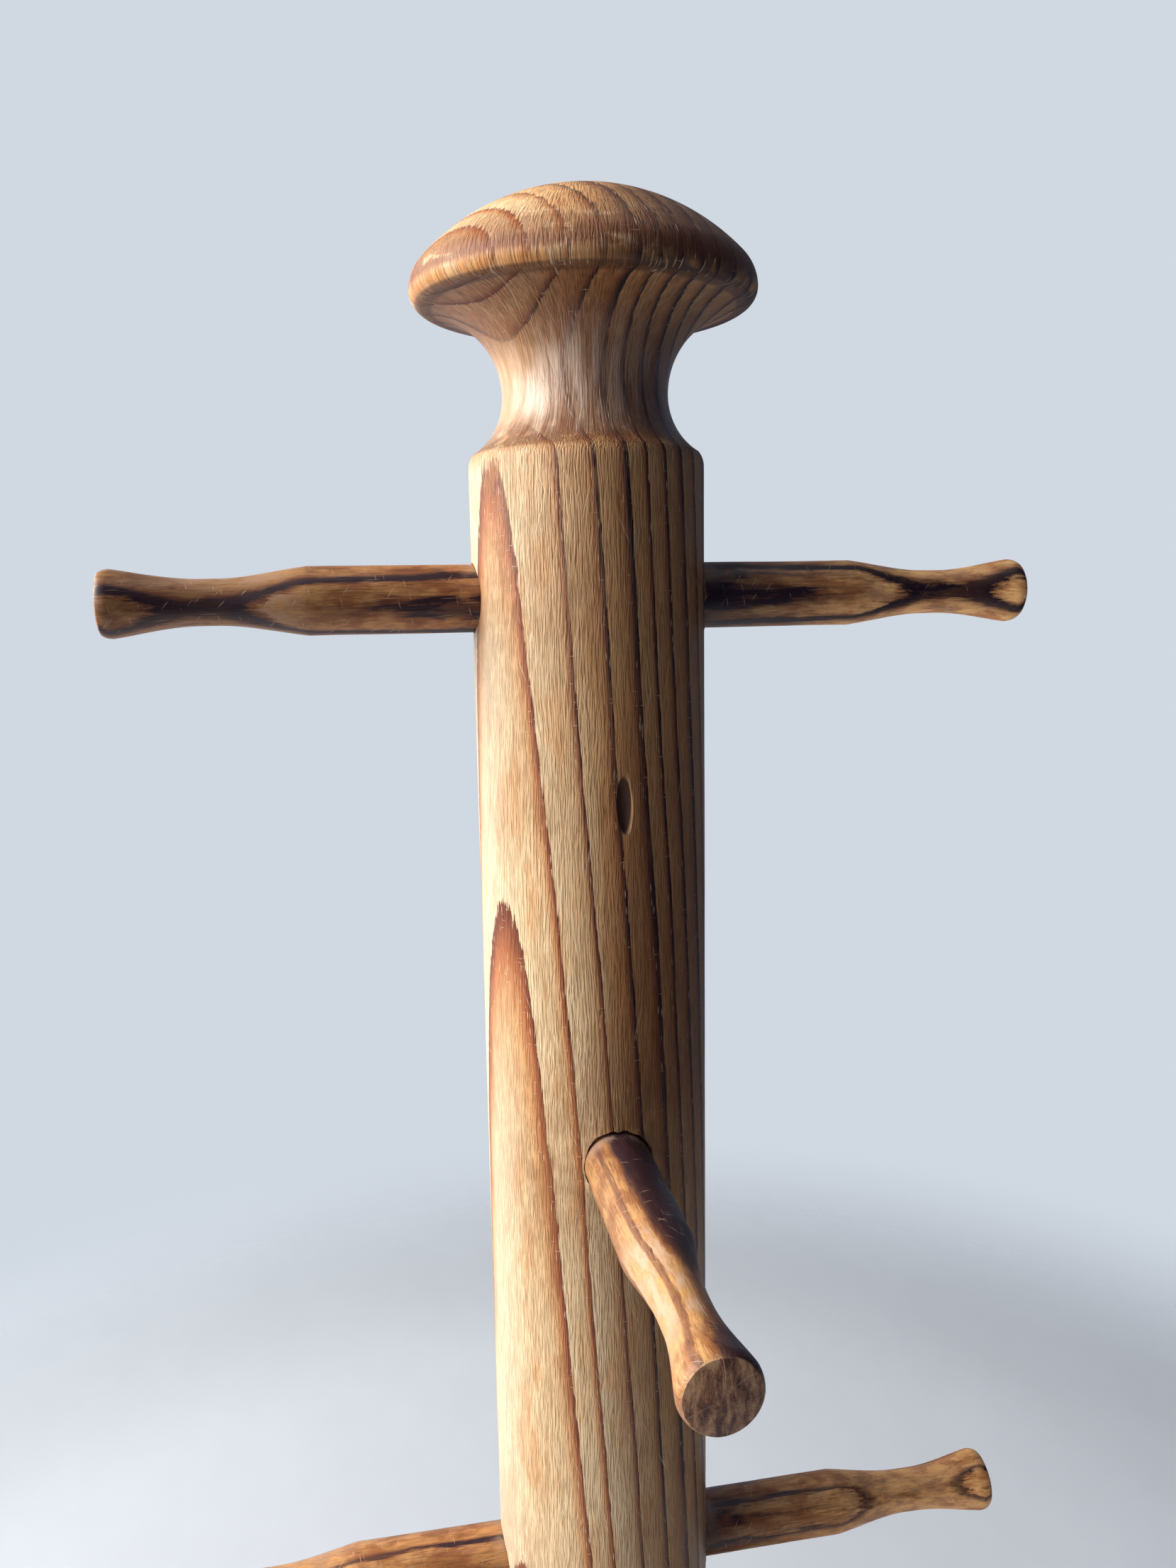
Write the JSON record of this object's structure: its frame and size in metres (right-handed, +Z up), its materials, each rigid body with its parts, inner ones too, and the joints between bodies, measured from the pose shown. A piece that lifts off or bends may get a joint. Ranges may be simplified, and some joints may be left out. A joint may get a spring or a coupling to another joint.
{
  "type": "mug tree",
  "caption": "Free-standing turned wooden mug tree: straight post with a mushroom knob, crossing tiers of waisted pegs for mug handles, and a round base with felt pads.",
  "frame": {"origin": "centre of the surface that the felt pads stand on, on the post's axis", "axes": "+Z up along the post towards the knob, +X along the top right and bottom right pegs, -Y along the front middle peg"},
  "size_m": [0.1688, 0.1688, 0.3759],
  "materials": {
    "pine": "turned pine, worn satin varnish, brown latewood lines",
    "peg_wood": "turned dowel, brown stained, dark streaks, satin",
    "felt": "pressed brown wool felt",
    "steel": "zinc plated, satin"
  },
  "bodies": {
    "root": {"post": "pine", "base": "pine", "peg_top_left": "peg_wood", "peg_top_right": "peg_wood", "peg_middle_front": "peg_wood", "peg_middle_back": "peg_wood", "peg_bottom_left": "peg_wood", "peg_bottom_right": "peg_wood", "base_screw": "steel", "felt_pad_1": "felt", "felt_pad_2": "felt", "felt_pad_3": "felt", "felt_pad_4": "felt"}
  },
  "joints": []
}
